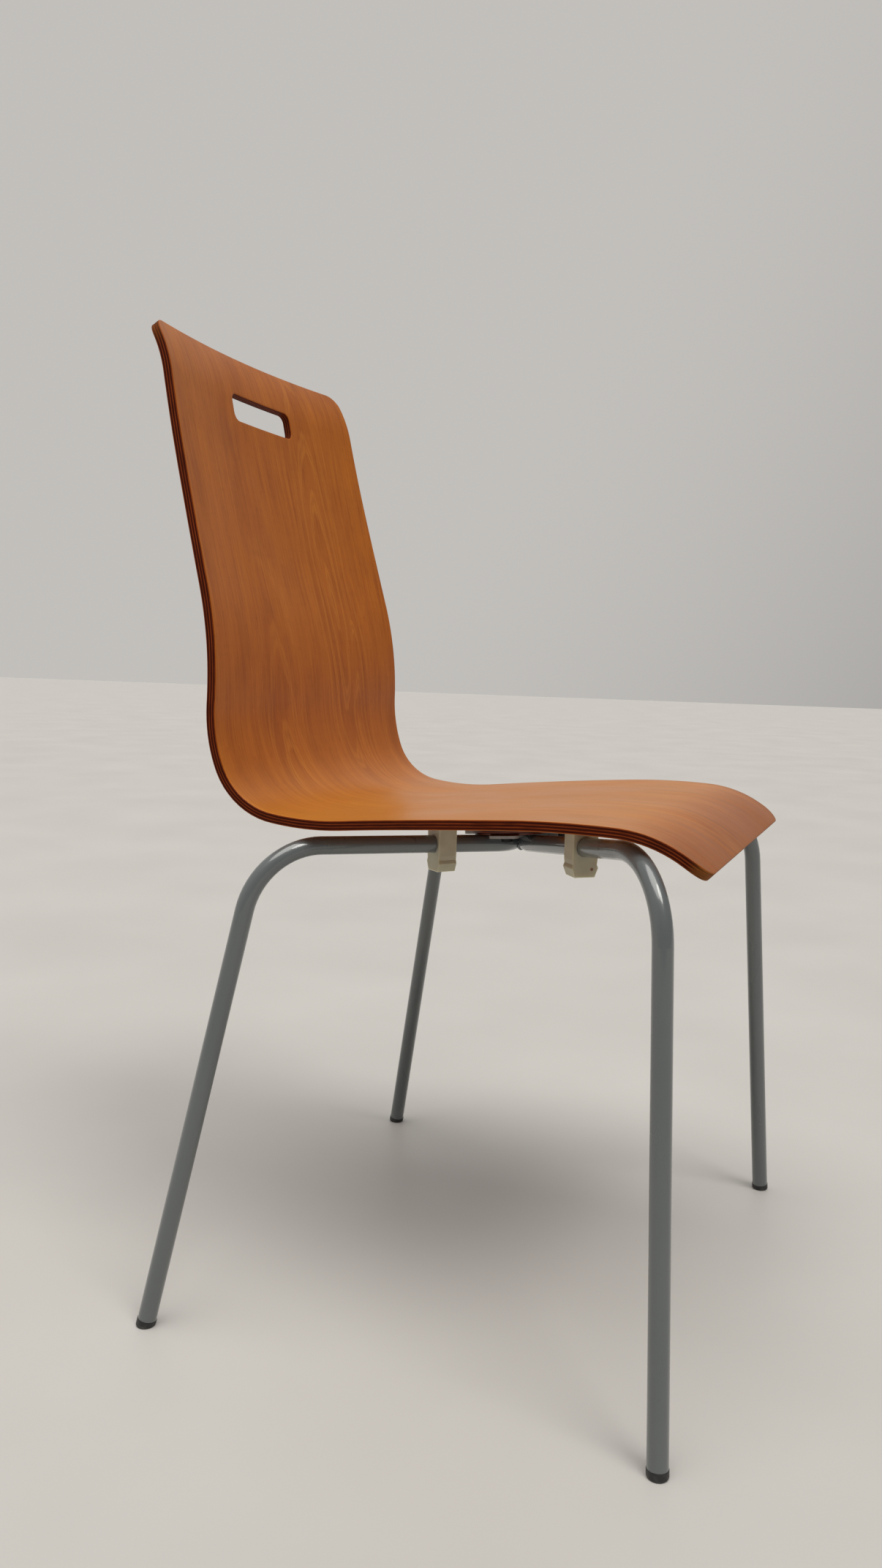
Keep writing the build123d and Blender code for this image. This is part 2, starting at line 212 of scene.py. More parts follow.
def outline_sites(rows):
    """The outer band's stations, anticlockwise: (grid row, grid column, place), where place
    turns a fraction of the band's width, measured from the edge, into (x, distance)."""
    top, last = len(rows) - 1, COLUMNS

    def side(row, sign):
        distance = rows[row]
        return lambda part: (sign * (half_width(distance) - part * band_width(distance)), distance)

    def end_row(column, row, sign, radius):
        u = 2 * column / COLUMNS - 1

        def place(part):
            distance = rows[row] + sign * radius * (1 - part)
            return u * (half_width(distance) - radius), distance
        return place

    def corner(row, sign_x, sign_y, radius, turn):
        def place(part):
            reach = radius * (1 - part)
            distance = rows[row] + sign_y * reach * math.sin(turn)
            return sign_x * (half_width(distance) - radius + reach * math.cos(turn)), distance
        return place

    turns = [math.pi / 2 * k / CORNER_STEPS for k in range(1, CORNER_STEPS)]
    sites = [(row, last, side(row, 1)) for row in range(top + 1)]
    sites += [(top, last, corner(top, 1, 1, TOP_CORNER_RADIUS, a)) for a in turns]
    sites += [(top, c, end_row(c, top, 1, TOP_CORNER_RADIUS)) for c in range(last, -1, -1)]
    sites += [(top, 0, corner(top, -1, 1, TOP_CORNER_RADIUS, a)) for a in reversed(turns)]
    sites += [(row, 0, side(row, -1)) for row in range(top, -1, -1)]
    sites += [(0, 0, corner(0, -1, -1, FRONT_CORNER_RADIUS, a)) for a in turns]
    sites += [(0, c, end_row(c, 0, -1, FRONT_CORNER_RADIUS)) for c in range(last + 1)]
    sites += [(0, last, corner(0, 1, -1, FRONT_CORNER_RADIUS, a)) for a in reversed(turns)]
    return sites


def slot_side(count, half_long, half_short, radius):
    """Stations of one side of a rounded slot, from the middle of one corner to the next,
    as (position along the side, position outwards)."""
    def on_corner(end, a):
        """Point of the corner at one end, turned by a from the straight part."""
        along = half_long - radius + radius * math.sin(a)
        return end * along, half_short - radius + radius * math.cos(a)

    points = []
    straight = count - 2 * SLOT_ARC_STEPS
    for k in range(count):
        if k < SLOT_ARC_STEPS:
            points.append(on_corner(-1, math.pi / 4 * (1 - k / SLOT_ARC_STEPS)))
        elif k <= SLOT_ARC_STEPS + straight:
            t = (k - SLOT_ARC_STEPS) / straight
            points.append(((half_long - radius) * (2 * t - 1), half_short))
        else:
            points.append(on_corner(1, math.pi / 4 * (k - SLOT_ARC_STEPS - straight) / SLOT_ARC_STEPS))
    return points


def slot_outline(inset):
    """The slot's outline, grown by inset: anticlockwise from its lower left corner."""
    wide, high, radius = SLOT_WIDTH / 2 + inset, SLOT_HEIGHT / 2 + inset, SLOT_CORNER + inset
    long_side = slot_side(SLOT_COLUMNS, wide, high, radius)
    short_side = slot_side(SLOT_ROWS, high, wide, radius)
    outline = [(a, -b) for a, b in long_side]
    outline += [(b, a) for a, b in short_side]
    outline += [(-a, b) for a, b in long_side]
    outline += [(-b, -a) for a, b in short_side]
    return [(x, SLOT_DISTANCE + y) for x, y in outline]


def make_shell():
    mesh = ShellMesh()
    rows = grid_rows()
    first_row = min(range(len(rows)), key=lambda r: abs(rows[r] - SLOT_DISTANCE + SLOT_MARGIN))
    first_column = (COLUMNS - SLOT_COLUMNS) // 2
    last_row, last_column = first_row + SLOT_ROWS, first_column + SLOT_COLUMNS
    sites = outline_sites(rows)
    steps = edge_steps()

    def face_side(depth):
        """One face of the sheet. Returns its outermost ring and its ring round the slot."""
        grid = {}
        for r, distance in enumerate(rows):
            reach = half_width(distance) - band_width(distance)
            for c in range(COLUMNS + 1):
                in_slot = first_row < r < last_row and first_column < c < last_column
                if not in_slot:
                    grid[r, c] = mesh.vertex((2 * c / COLUMNS - 1) * reach, distance, depth)
        for r in range(len(rows) - 1):
            for c in range(COLUMNS):
                in_slot = first_row <= r < last_row and first_column <= c < last_column
                if not in_slot:
                    mesh.face([grid[r, c], grid[r, c + 1], grid[r + 1, c + 1], grid[r + 1, c]])
        ring = [grid[r, c] for r, c, place in sites]
        for part in BAND_FRACTIONS:
            next_ring = [mesh.vertex(*place(part), depth) for r, c, place in sites]
            mesh.join(ring, next_ring)
            ring = next_ring
        block = [(first_row, c) for c in range(first_column, last_column)]
        block += [(r, last_column) for r in range(first_row, last_row)]
        block += [(last_row, c) for c in range(last_column, first_column, -1)]
        block += [(r, first_column) for r in range(last_row, first_row, -1)]
        starts = [mesh.flat[grid[key]] for key in block]
        hole_ring = [grid[key] for key in block]
        hole_outline = slot_outline(EASE)
        for part in SLOT_FRACTIONS:
            next_ring = [
                mesh.vertex(x + (start[0] - x) * part, y + (start[1] - y) * part, depth)
                for (x, y), start in zip(hole_outline, starts)
            ]
            mesh.join(hole_ring, next_ring)
            hole_ring = next_ring
        return ring, hole_ring

    upper_ring, upper_hole = face_side(0.0)
    lower_ring, lower_hole = face_side(SHELL_THICKNESS)

    def wrap(ring, final_ring, outline_at):
        """Closes an edge from the upper face's ring to the lower face's."""
        for inset, depth in steps:
            next_ring = [mesh.vertex(x, y, depth) for x, y in outline_at(inset)]
            on_edge = EASE / 2 < depth < SHELL_THICKNESS - EASE / 2
            mesh.join(ring, next_ring, on_edge)
            ring = next_ring
        mesh.join(ring, final_ring)

    def outer_outline(inset):
        return [place(inset / band_width(rows[r])) for r, c, place in sites]

    wrap(upper_ring, lower_ring, outer_outline)
    wrap(upper_hole, lower_hole, slot_outline)

    data = bpy.data.meshes.new("seat_shell_veneer")
    data.from_pydata(mesh.points, [], mesh.faces)
    place = data.attributes.new("flat_place", "FLOAT_VECTOR", "POINT")
    place.data.foreach_set("vector", [value for point in mesh.flat for value in point])
    data.polygons.foreach_set("use_smooth", [True] * len(mesh.faces))
    data.polygons.foreach_set("material_index", [int(edge) for edge in mesh.on_edge])
    work = bmesh.new()
    work.from_mesh(data)
    bmesh.ops.recalc_face_normals(work, faces=work.faces)
    work.to_mesh(data)
    work.free()
    shell = bpy.data.objects.new("seat_shell_veneer", data)
    bpy.context.scene.collection.objects.link(shell)
    return shell


# ---------------------------------------------------------------- weld beads

JOINT_Y = -0.0519               # where the two tubes touch
JOINT_Z = 0.4030
JOINT_BEAD_END = 0.0085         # joint beads end before this x, and plate beads begin after it
BEAD_RINGS = 44
BEAD_SIDES = 18
BEAD_RIPPLE = 0.07              # height of a ripple over the bead's radius
BEAD_PITCH = 0.0015             # from one ripple to the next
BEAD_LIFT = 0.0034              # how far a joint bead's ends close in on the joint
BEAD_TAPER = 2.2                # higher keeps a bead full nearer to its ends


def bead_points():
    """Vertices of each CAD bead: two on the joint, and one under each arm of the plate."""
    groups = {}
    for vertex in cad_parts["frame_welds"].data.vertices:
        x, y, z = vertex.co
        key = ("plate", x > 0, y > JOINT_Y) if abs(x) > JOINT_BEAD_END else ("joint", z > JOINT_Z)
        groups.setdefault(key, []).append(vertex.co.copy())
    return groups


def box_middle(points):
    """Middle of the points' bounding box."""
    lows = [min(point[axis] for point in points) for axis in range(3)]
    highs = [max(point[axis] for point in points) for axis in range(3)]
    return (Vector(lows) + Vector(highs)) / 2


def level_heading(points, middle):
    """Level direction in which a bead is longest."""
    across = [(point.x - middle.x, point.y - middle.y) for point in points]
    xx = sum(x * x for x, y in across)
    yy = sum(y * y for x, y in across)
    xy = sum(x * y for x, y in across)
    angle = math.atan2(2 * xy, xx - yy) / 2
    return Vector((math.cos(angle), math.sin(angle), 0.0))


def add_bead(work, middle, heading, half_length, radius, lift):
    """A rippled bead whose ends taper to points. lift raises the ends."""
    up = Vector((0, 0, 1))
    side = heading.cross(up)
    turns = [2 * math.pi * i / BEAD_SIDES for i in range(BEAD_SIDES)]
    rings = []
    for k in range(1, BEAD_RINGS):
        t = 2 * k / BEAD_RINGS - 1
        along = t * half_length
        ripple = 1 + BEAD_RIPPLE * math.cos(2 * math.pi * along / BEAD_PITCH)
        size = radius * (1 - abs(t) ** BEAD_TAPER) ** 0.5 * ripple
        centre = middle + heading * along + up * (lift * t * t)
        rings.append([
            work.verts.new(centre + side * size * math.cos(a) + up * (size * math.sin(a)))
            for a in turns
        ])
    for ring, next_ring in zip(rings, rings[1:]):
        for i in range(BEAD_SIDES):
            work.faces.new((ring[i - 1], next_ring[i - 1], next_ring[i], ring[i]))
    for ring, sign in ((rings[0], -1), (rings[-1], 1)):
        tip = work.verts.new(middle + heading * half_length * sign + up * lift)
        for i in range(BEAD_SIDES):
            work.faces.new((ring[i - 1], ring[i], tip))


def make_weld_beads():
    """All six beads as one mesh, each in the place of its CAD bead."""
    work = bmesh.new()
    for key, points in bead_points().items():
        middle = box_middle(points)
        radius = max(p.z for p in points) - middle.z
        if key[0] == "joint":
            heading = Vector((1, 0, 0))
            lift = BEAD_LIFT if middle.z < JOINT_Z else -BEAD_LIFT
        else:
            heading = level_heading(points, middle)
            lift = 0.0
        half_length = max(abs((p - middle).dot(heading)) for p in points)
        add_bead(work, middle, heading, half_length, radius, lift)
    bmesh.ops.recalc_face_normals(work, faces=work.faces)
    data = bpy.data.meshes.new("frame_weld_beads")
    work.to_mesh(data)
    work.free()
    data.polygons.foreach_set("use_smooth", [True] * len(data.polygons))
    beads = bpy.data.objects.new("frame_weld_beads", data)
    bpy.context.scene.collection.objects.link(beads)
    return beads


# ---------------------------------------------------------------- node helpers

class Material:
    """A material with a Principled shader, and short calls that add its nodes."""

    def __init__(self, name, color, roughness, **sockets):
        self.material = bpy.data.materials.new(name)
        self.material.use_nodes = True
        self.tree = self.material.node_tree
        self.shader = self.tree.nodes["Principled BSDF"]
        self.shader.inputs["Base Color"].default_value = (*color, 1.0)
        self.shader.inputs["Roughness"].default_value = roughness
        for socket, value in sockets.items():
            self.shader.inputs[socket.replace("_", " ")].default_value = value

    def set(self, socket, value):
        if isinstance(value, bpy.types.NodeSocket):
            self.tree.links.new(value, socket)
        else:
            socket.default_value = value

    def into_shader(self, socket, value):
        self.set(self.shader.inputs[socket], value)

    def math(self, operation, a, b=0.0, clamp=False):
        node = self.tree.nodes.new("ShaderNodeMath")
        node.operation, node.use_clamp = operation, clamp
        self.set(node.inputs[0], a)
        self.set(node.inputs[1], b)
        return node.outputs[0]

    def scaled(self, vector, scale):
        node = self.tree.nodes.new("ShaderNodeVectorMath")
        node.operation = "MULTIPLY"
        self.set(node.inputs[0], vector)
        self.set(node.inputs[1], scale)
        return node.outputs[0]

    def noise(self, vector, scale, detail=2.0, roughness=0.5, distortion=0.0):
        node = self.tree.nodes.new("ShaderNodeTexNoise")
        self.set(node.inputs["Vector"], self.scaled(vector, scale))
        node.inputs["Scale"].default_value = 1.0
        node.inputs["Detail"].default_value = detail
        node.inputs["Roughness"].default_value = roughness
        node.inputs["Distortion"].default_value = distortion
        return node.outputs[0]

    def fit(self, value, low, high, new_low=0.0, new_high=1.0, smooth=False):
        """Takes low..high to new_low..new_high, and stays there beyond them."""
        node = self.tree.nodes.new("ShaderNodeMapRange")
        node.interpolation_type = "SMOOTHSTEP" if smooth else "LINEAR"
        for socket, number in zip(node.inputs[:5], (value, low, high, new_low, new_high)):
            self.set(socket, number)
        return node.outputs[0]

    def ramp(self, value, stops):
        node = self.tree.nodes.new("ShaderNodeValToRGB")
        self.set(node.inputs[0], value)
        elements = node.color_ramp.elements
        while len(elements) < len(stops):
            elements.new(0.5)
        for element, (position, color) in zip(elements, stops):
            element.position = position
            element.color = (*color, 1.0)
        return node.outputs[0]

    def mix(self, factor, a, b, blend="MIX"):
        node = self.tree.nodes.new("ShaderNodeMix")
        node.data_type, node.blend_type = "RGBA", blend
        for socket, value in zip((node.inputs[0], node.inputs[6], node.inputs[7]), (factor, a, b)):
            self.set(socket, (*value, 1.0) if isinstance(value, tuple) else value)
        return node.outputs[2]

    def shaded(self, factor, color, tint):
        """The colour, multiplied by tint as far as factor says."""
        return self.mix(factor, color, self.mix(1.0, color, tint, "MULTIPLY"))

    def position(self):
        return self.tree.nodes.new("ShaderNodeTexCoord").outputs["Object"]

    def separate(self, vector):
        node = self.tree.nodes.new("ShaderNodeSeparateXYZ")
        self.set(node.inputs[0], vector)
        return node.outputs

    def combine(self, x, y, z):
        node = self.tree.nodes.new("ShaderNodeCombineXYZ")
        for socket, value in zip(node.inputs, (x, y, z)):
            self.set(socket, value)
        return node.outputs[0]

    def bump(self, height, distance, strength=1.0):
        node = self.tree.nodes.new("ShaderNodeBump")
        node.inputs["Strength"].default_value = strength
        node.inputs["Distance"].default_value = distance
        self.set(node.inputs["Height"], height)
        self.into_shader("Normal", node.outputs[0])


# ---------------------------------------------------------------- wood

VENEER_DARK = (0.315, 0.076, 0.0030)
VENEER_MIDDLE = (0.395, 0.106, 0.0050)
VENEER_LIGHT = (0.480, 0.145, 0.0095)
FIGURE_DARK = (0.74, 0.62, 0.50)
FIGURE_LIGHT = (0.53, 0.180, 0.016)
FIBRE_DARK = (0.80, 0.72, 0.62)
STREAK_GREY = (0.25, 0.110, 0.045)
# Partly wear and partly painted light on the seat's upper face.
SEAT_WORN_AND_PAINTED_LIGHT = (0.53, 0.235, 0.040)
MOTTLE_SHADE = (0.72, 0.64, 0.50)
# Painted shade for the sheet near the seat's front edge.
FRONT_PAINTED_SHADE = (0.68, 0.66, 0.72)
PLY_LONG = (0.200, 0.034, 0.0050)
PLY_CROSS = (0.050, 0.0052, 0.0012)
PLY_GLUE = (0.018, 0.003, 0.001)
PLY_GOLDEN = (0.36, 0.135, 0.026)
WHITE = (1.0, 1.0, 1.0)
STREAK_SHADE = (0.50, 0.45, 0.42)       # darkest tint of the end grain's streaks
PLIES = 7
BACK_SHEET = 7.3                # moves the back face's veneer to another part of the noise
RING_SPACING = 1.5              # figure lines in one eye's width
RING_WOBBLE = 1.5
SEAT_START = (0.02, 0.10)       # distances between which the seat's worn tone and painted light come in and between which they go out
SEAT_END = (0.34, 0.46)         # and between which it goes out

# Eyes of the figure: (across, along, half width, half length).
EYES = (
    (0.070, 0.600, 0.016, 0.110),
    (0.098, 0.455, 0.010, 0.080),
    (-0.060, 0.230, 0.018, 0.150),
)


def flat_place(material):
    """The shell's unbent coordinates: across, along the grain, and depth."""
    node = material.tree.nodes.new("ShaderNodeAttribute")
    node.attribute_type = "GEOMETRY"
    node.attribute_name = "flat_place"
    return node.outputs["Vector"]


def eye_distance(m, grain, across, along, half_wide, half_long):
    """Distance from the middle of a long narrow eye of figure, in multiples of its size."""
    x, y = m.separate(grain)[:2]
    u = m.math("DIVIDE", m.math("SUBTRACT", x, across), half_wide)
    v = m.math("DIVIDE", m.math("SUBTRACT", y, along), half_long)
    squares = m.math("ADD", m.math("MULTIPLY", u, u), m.math("MULTIPLY", v, v))
    return m.math("SQRT", squares)


def veneer_material():
    """Stained, lacquered veneer, with its grain along the sheet."""
    m = Material("veneer_lacquered", VENEER_MIDDLE, 0.30, IOR=1.36)
    across, along, depth = m.separate(flat_place(m))
    back = m.math("GREATER_THAN", depth, SHELL_THICKNESS / 2)
    above = m.math("SUBTRACT", 1.0, back)
    sheet = m.math("MULTIPLY", back, BACK_SHEET)
    place = m.combine(across, along, sheet)
    waver = m.noise(place, (22.0, 3.4, 1.0), detail=2.0)
    shifted = m.math("ADD", across, m.fit(waver, 0.2, 0.8, -0.005, 0.005))
    grain = m.combine(shifted, along, sheet)

    bands = m.noise(grain, (34.0, 1.4, 1.0), detail=5.0, roughness=0.62)
    color = m.ramp(bands, [(0.22, VENEER_DARK), (0.5, VENEER_MIDDLE), (0.78, VENEER_LIGHT)])
    broad = m.noise(grain, (8.0, 3.0, 1.0), detail=1.0)
    color = m.mix(m.fit(broad, 0.35, 0.7, 0.0, 0.4), color, VENEER_LIGHT)

    mottle = m.noise(place, (34.0, 15.0, 1.0), detail=4.0, roughness=0.6)
    color = m.shaded(m.fit(mottle, 0.44, 0.68, 0.0, 0.5), color, MOTTLE_SHADE)

    # Cathedral figure: nested lines round a few long eyes.
    near = eye_distance(m, grain, *EYES[0])
    for eye in EYES[1:]:
        near = m.math("MINIMUM", near, eye_distance(m, grain, *eye))
    wobble = m.noise(grain, (30.0, 5.0, 1.0), detail=3.0)
    spread = m.math("MULTIPLY", near, RING_SPACING)
    rings = m.math("FRACT", m.math("ADD", spread, m.math("MULTIPLY", wobble, RING_WOBBLE)))
    from_line = m.math("ABSOLUTE", m.math("SUBTRACT", rings, 0.5))
    line = m.fit(from_line, 0.42, 0.49, smooth=True)
    glow = m.fit(from_line, 0.30, 0.38, smooth=True)
    reach = m.fit(near, 1.2, 3.6, 0.50, 0.07, smooth=True)
    color = m.mix(m.math("MULTIPLY", glow, reach), color, FIGURE_LIGHT)
    color = m.shaded(m.math("MULTIPLY", line, reach), color, FIGURE_DARK)

    fibre = m.noise(grain, (560.0, 9.0, 1.0), detail=4.0, roughness=0.62)
    color = m.shaded(m.fit(fibre, 0.50, 0.68), color, FIBRE_DARK)
    color = m.mix(m.fit(fibre, 0.30, 0.46, 0.38, 0.0), color, FIGURE_LIGHT)
    flecks = m.noise(grain, (1500.0, 110.0, 1.0), detail=1.0)
    color = m.shaded(m.fit(flecks, 0.60, 0.70, 0.0, 0.65), color, FIGURE_DARK)

    # The seat's upper face is lighter and more golden, partly from wear and partly painted light, with
    # grey streaks; near the front the sheet is darker, a painted shade.
    seat_in = m.fit(along, *SEAT_START, smooth=True)
    seat_out = m.fit(along, *SEAT_END, 1.0, 0.0, smooth=True)
    on_seat = m.math("MULTIPLY", seat_in, seat_out)
    # Partly wear, partly painted light: the seat's upper face is made lighter and more golden.
    color = m.mix(m.math("MULTIPLY", m.math("MULTIPLY", on_seat, above), 0.42), color, SEAT_WORN_AND_PAINTED_LIGHT)
    streaks = m.noise(grain, (95.0, 2.2, 1.0), detail=3.0, roughness=0.55)
    front = m.math("MULTIPLY", above, m.fit(along, 0.03, 0.30, 1.0, 0.0, smooth=True))
    grey = m.math("MULTIPLY", m.fit(streaks, 0.50, 0.72, 0.0, 0.55, smooth=True), front)
    color = m.mix(grey, color, STREAK_GREY)
    # Painted shade: the sheet is darkened towards its front edge, where less light falls.
    color = m.shaded(m.fit(along, 0.01, 0.085, 0.85, 0.0, smooth=True), color, FRONT_PAINTED_SHADE)
    m.into_shader("Base Color", color)

    worn = m.noise(place, (14.0, 9.0, 1.0), detail=3.0)
    m.into_shader("Roughness", m.fit(worn, 0.3, 0.7, 0.32, 0.42))
    m.bump(m.math("ADD", fibre, m.math("MULTIPLY", flecks, 0.5)), 0.00004, 0.5)
    return m.material


def ply_color(m, level, streaks, golden):
    """Colour of stained plies cut across. level counts plies through the sheet."""
    within = m.math("FRACT", level)
    odd = m.math("GREATER_THAN", m.math("FRACT", m.math("MULTIPLY", level, 0.5)), 0.5)
    color = m.mix(odd, PLY_LONG, PLY_CROSS)
    glue = m.math("ABSOLUTE", m.math("SUBTRACT", within, 0.5))
    color = m.mix(m.fit(glue, 0.40, 0.48, 0.0, 0.85, smooth=True), color, PLY_GLUE)
    color = m.mix(golden, color, PLY_GOLDEN)
    shade = m.ramp(streaks, [(0.34, STREAK_SHADE), (0.58, WHITE)])
    return m.mix(1.0, color, shade, "MULTIPLY")


def ply_edge_material():
    """The sheet's cut edge, more golden at the front and the top."""
    m = Material("ply_edge_stained", PLY_CROSS, 0.65, Specular_IOR_Level=0.08)
    flat = flat_place(m)
    across, along, depth = m.separate(flat)
    level = m.math("MULTIPLY", depth, PLIES / SHELL_THICKNESS)
    streaks = m.noise(flat, (60.0, 60.0, 1500.0), detail=2.0, roughness=0.5)
    near_front = m.fit(along, 0.004, 0.020, 1.0, 0.0, smooth=True)
    near_top = m.fit(along, LENGTH - 0.030, LENGTH - 0.006, 0.0, 1.0, smooth=True)
    golden = m.math("MAXIMUM", m.math("MULTIPLY", near_front, 0.6), m.math("MULTIPLY", near_top, 0.25))
    m.into_shader("Base Color", ply_color(m, level, streaks, golden))
    m.bump(streaks, 0.00008, 0.5)
    return m.material


def spacer_material():
    """The disc's plies lie parallel to the seat, so they are counted up from its slope."""
    m = Material("spacer_ply_stained", PLY_CROSS, 0.5)
    x, y, z = m.separate(m.position())
    slope = math.tan(SPACER_TILT)
    height = m.math("SUBTRACT", z, m.math("MULTIPLY", y, slope))
    level = m.math("MULTIPLY", height, PLIES / SHELL_THICKNESS)
    streaks = m.noise(m.combine(x, y, height), (120.0, 120.0, 2600.0), detail=3.0, roughness=0.6)
    m.into_shader("Base Color", ply_color(m, level, streaks, 0.0))
    m.bump(streaks, 0.0001, 0.5)
    return m.material


# ---------------------------------------------------------------- metal and plastic

TUBE_GREY = (0.098, 0.112, 0.116)
TUBE_DARKER = (0.091, 0.105, 0.109)
TUBE_LIGHTER = (0.106, 0.120, 0.123)
SCUFF_GREY = (0.055, 0.056, 0.055)
NYLON = (0.48, 0.45, 0.33)
NYLON_DARKER = (0.45, 0.42, 0.30)
NYLON_LIGHTER = (0.51, 0.48, 0.36)
# Small brown spot left by the moulding on the outer face of each front buffer.
MOULDING_MARK = (0.1095, -0.1506, 0.4030)
MARK_BROWN = (0.20, 0.060, 0.018)
GLIDE_BLACK = (0.012, 0.012, 0.013)
DUST = (0.10, 0.095, 0.085)
SCREW_BLACK = (0.02, 0.02, 0.022)
PLATE_GREY = (0.36, 0.36, 0.35)
ZINC = (0.55, 0.55, 0.55)
FLOOR_GREY = (0.51, 0.50, 0.48)
FLOOR_DARKER = (0.495, 0.485, 0.465)
FLOOR_LIGHTER = (0.525, 0.515, 0.495)


def tube_material():
    """Glossy grey paint, scuffed most near the floor."""
    m = Material("tube_paint_grey", TUBE_GREY, 0.30, Coat_Weight=1.0, Coat_Roughness=0.06)
    place = m.position()
    z = m.separate(place)["Z"]
    patch = m.noise(place, (22.0, 22.0, 9.0), detail=3.0)
    color = m.ramp(patch, [(0.3, TUBE_DARKER), (0.7, TUBE_LIGHTER)])
    scuffs = m.noise(place, (160.0, 160.0, 420.0), detail=4.0, roughness=0.7)
    low = m.fit(z, 0.02, 0.16, 0.85, 0.25)
    scuffed = m.math("MULTIPLY", m.fit(scuffs, 0.66, 0.72, 0.0, 1.0), low)
    color = m.mix(scuffed, color, SCUFF_GREY)
    m.into_shader("Base Color", color)
    m.into_shader("Roughness", m.fit(patch, 0.3, 0.7, 0.24, 0.34))
    m.bump(m.noise(place, (900.0, 900.0, 900.0), detail=1.0), 0.00003, 0.5)
    return m.material


def nylon_material():
    """Natural nylon that lets a little light in, with the moulding's brown spot."""
    m = Material(
        "buffer_nylon", NYLON, 0.52,
        Subsurface_Weight=0.9, Subsurface_Scale=0.006, Subsurface_Radius=(1.0, 1.0, 0.8), IOR=1.5,
    )
    place = m.position()
    clouds = m.noise(place, (90.0, 90.0, 90.0), detail=3.0)
    color = m.ramp(clouds, [(0.3, NYLON_DARKER), (0.7, NYLON_LIGHTER)])
    x, y, z = m.separate(place)
    away = m.tree.nodes.new("ShaderNodeVectorMath")
    away.operation = "DISTANCE"
    m.set(away.inputs[0], m.combine(m.math("ABSOLUTE", x), y, z))
    away.inputs[1].default_value = MOULDING_MARK
    mark = m.fit(away.outputs["Value"], 0.0010, 0.0018, 0.85, 0.0, smooth=True)
    m.into_shader("Base Color", m.mix(mark, color, MARK_BROWN))
    m.into_shader("Roughness", m.fit(clouds, 0.3, 0.7, 0.46, 0.6))
    m.bump(m.noise(place, (1400.0, 1400.0, 1400.0), detail=2.0), 0.00005, 0.4)
    return m.material


def glide_material():
    """Black plastic, dusty most at the floor."""
    m = Material("glide_plastic_black", GLIDE_BLACK, 0.45)
    place = m.position()
    z = m.separate(place)["Z"]
    dust = m.noise(place, (260.0, 260.0, 260.0), detail=3.0)
    amount = m.math("MULTIPLY", m.fit(dust, 0.5, 0.7), m.fit(z, 0.0, 0.004, 0.6, 0.15))
    m.into_shader("Base Color", m.mix(amount, GLIDE_BLACK, DUST))
    m.bump(dust, 0.00006, 0.5)
    return m.material


def steel_material(name, color, roughness, metallic, grain):
    m = Material(name, color, roughness, Metallic=metallic)
    place = m.position()
    spots = m.noise(place, (grain, grain, grain), detail=4.0, roughness=0.6)
    darker = tuple(0.72 * channel for channel in color)
    m.into_shader("Base Color", m.ramp(spots, [(0.35, darker), (0.62, color)]))
    m.into_shader("Roughness", m.fit(spots, 0.3, 0.7, roughness - 0.07, roughness + 0.1))
    m.bump(spots, 0.00004, 0.5)
    return m.material


def floor_material():
    m = Material("studio_floor", FLOOR_GREY, 0.45)
    mottle = m.noise(m.position(), (3.0, 3.0, 3.0), detail=4.0)
    m.into_shader("Base Color", m.ramp(mottle, [(0.3, FLOOR_DARKER), (0.7, FLOOR_LIGHTER)]))
    m.into_shader("Roughness", m.fit(mottle, 0.3, 0.7, 0.40, 0.5))
    return m.material


# ---------------------------------------------------------------- the chair

shell = make_shell()
shell.data.materials.append(veneer_material())
shell.data.materials.append(ply_edge_material())
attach(shell, "root")
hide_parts("seat_shell")

tube = tube_material()
nylon = nylon_material()
glide = glide_material()
black = steel_material("screw_black_oxide", SCREW_BLACK, 0.42, 0.6, 900.0)
finishes = {
    "rear_leg_tube": tube,
    "front_leg_tube": tube,
    "cross_plate": steel_material("plate_paint_light", PLATE_GREY, 0.4, 0.0, 500.0),
    "spacer_disc": spacer_material(),
    "tee_nuts": steel_material("tee_nut_zinc", ZINC, 0.35, 1.0, 700.0),
    "screw_washers": black,
    "seat_screws": black,
}
for end in ("rear", "front"):
    for side in ("left", "right"):
        finishes["stack_buffer_" + end + "_" + side] = nylon
        finishes["foot_glide_" + end + "_" + side] = glide

beads = make_weld_beads()
beads.data.materials.append(tube)
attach(beads, "root")
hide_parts("frame_welds")

for name, finish in finishes.items():
    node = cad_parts[name]
    for material_slot in node.material_slots:
        material_slot.material = finish
    if not node.material_slots:
        node.data.materials.append(finish)


# ---------------------------------------------------------------- floor, light, camera

FLOOR_HALF_SIZE = 20.0
floor_data = bpy.data.meshes.new("floor")
floor_corners = [
    (x * FLOOR_HALF_SIZE, y * FLOOR_HALF_SIZE, 0)
    for x, y in ((-1, -1), (1, -1), (1, 1), (-1, 1))
]
floor_data.from_pydata(floor_corners, [], [(0, 1, 2, 3)])
floor_data.materials.append(floor_material())
floor = bpy.data.objects.new("floor", floor_data)
bpy.context.scene.collection.objects.link(floor)


def soft_light(name, toward, spread, strength, color):
    """Even light from a round patch of the sky. toward points from the chair to its middle."""
    data = bpy.data.lights.new(name, "SUN")
    data.energy = strength
    data.angle = math.radians(spread)
    data.color = color
    light = bpy.data.objects.new(name, data)
    light.rotation_euler = Vector(toward).to_track_quat("Z", "Y").to_euler()
    bpy.context.scene.collection.objects.link(light)


soft_light("ceiling_light", (-0.25, -0.05, 1.0), 46.0, 1.75, (1.0, 0.97, 0.93))
soft_light("front_light", (-0.30, -0.60, 1.10), 24.0, 1.0, (1.0, 0.97, 0.92))

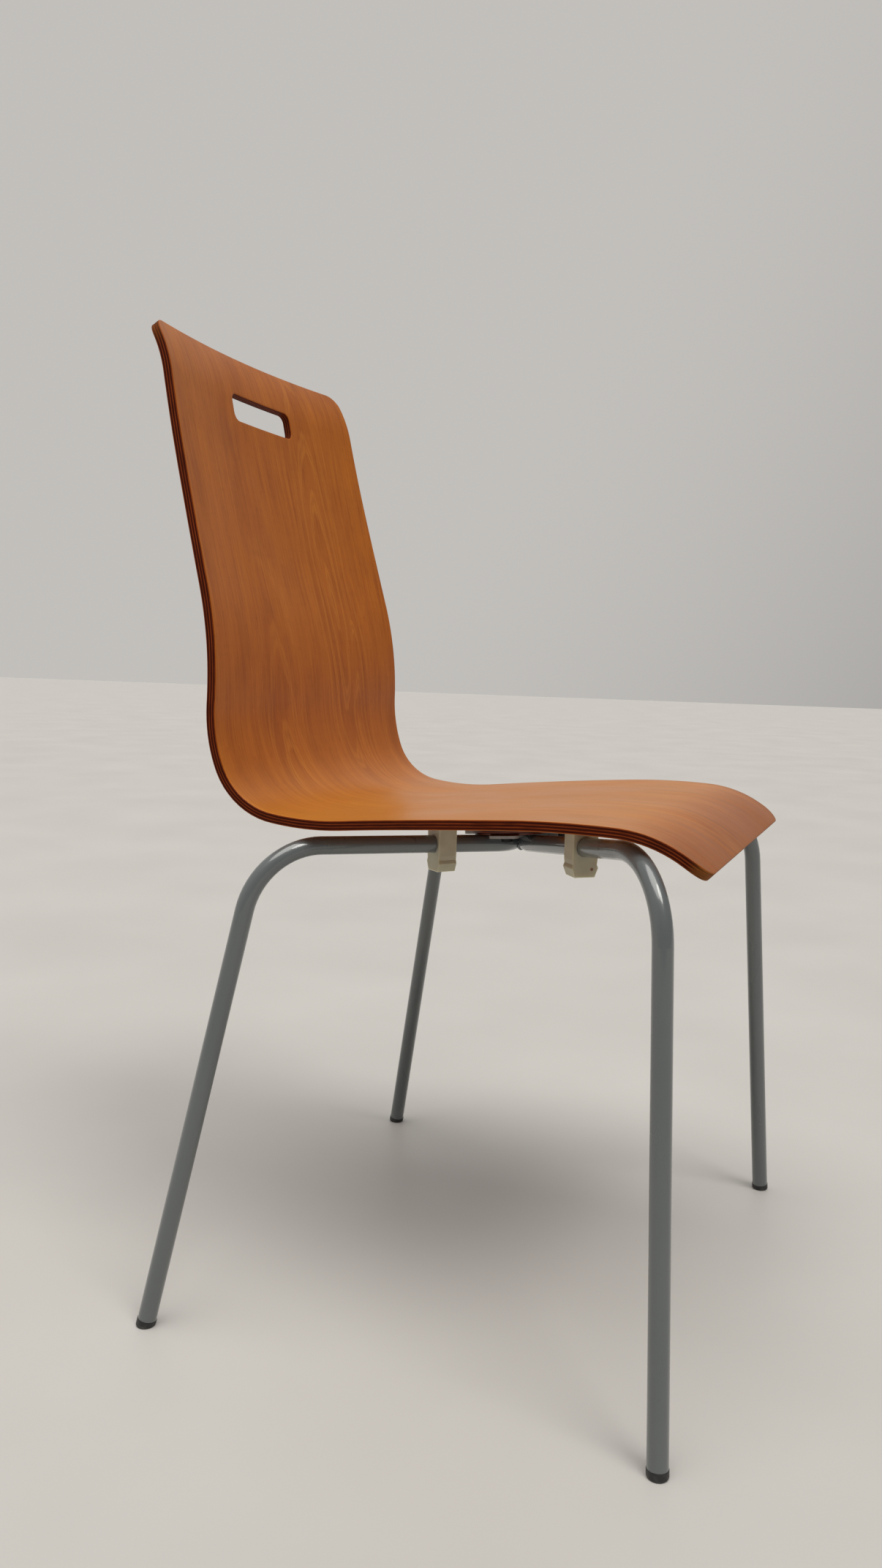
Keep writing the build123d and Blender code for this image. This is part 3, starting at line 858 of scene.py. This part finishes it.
# The sky is brighter behind the chair than in front of it.
SKY_TOWARD = (0.3, 0.8, 0.5)
SKY_FADE = (-0.1, 0.65)         # lean towards SKY_TOWARD between which the strength grows
SKY_STRENGTH = (0.26, 0.58)
SKY_COLOR = (0.93, 0.90, 0.86, 1.0)
world = bpy.data.worlds.new("studio")
world.use_nodes = True
sky = world.node_tree.nodes["Background"]
direction = world.node_tree.nodes.new("ShaderNodeTexCoord").outputs["Generated"]
lean = world.node_tree.nodes.new("ShaderNodeVectorMath")
lean.operation = "DOT_PRODUCT"
lean.inputs[1].default_value = SKY_TOWARD
fade = world.node_tree.nodes.new("ShaderNodeMapRange")
fade.interpolation_type = "SMOOTHSTEP"
for socket, value in zip(fade.inputs[1:5], (*SKY_FADE, *SKY_STRENGTH)):
    socket.default_value = value
world.node_tree.links.new(direction, lean.inputs[0])
world.node_tree.links.new(lean.outputs["Value"], fade.inputs["Value"])
world.node_tree.links.new(fade.outputs[0], sky.inputs["Strength"])
sky.inputs["Color"].default_value = SKY_COLOR
bpy.context.scene.world = world
bpy.context.scene.view_settings.view_transform = "Standard"

# The photo's camera, worked out in the chair's frame.
CAMERA_PLACE = Vector((-1.042, -0.405, 0.5681))
CAMERA_FORWARD = Vector((0.9176, 0.3843, -0.1015)).normalized()
CAMERA_ROLL = 0.02574
CAMERA_LENS = 27.11

level_right = CAMERA_FORWARD.cross(Vector((0, 0, 1))).normalized()
level_up = level_right.cross(CAMERA_FORWARD)
camera_right = math.cos(CAMERA_ROLL) * level_right + math.sin(CAMERA_ROLL) * level_up
camera_up = camera_right.cross(CAMERA_FORWARD)
camera_data = bpy.data.cameras.new("camera")
camera_data.lens = CAMERA_LENS
camera_data.clip_start = 0.01
camera = bpy.data.objects.new("camera", camera_data)
turn = Matrix((camera_right, camera_up, -CAMERA_FORWARD)).transposed()
camera.matrix_world = Matrix.Translation(CAMERA_PLACE) @ turn.to_4x4()
bpy.context.scene.collection.objects.link(camera)
bpy.context.scene.camera = camera
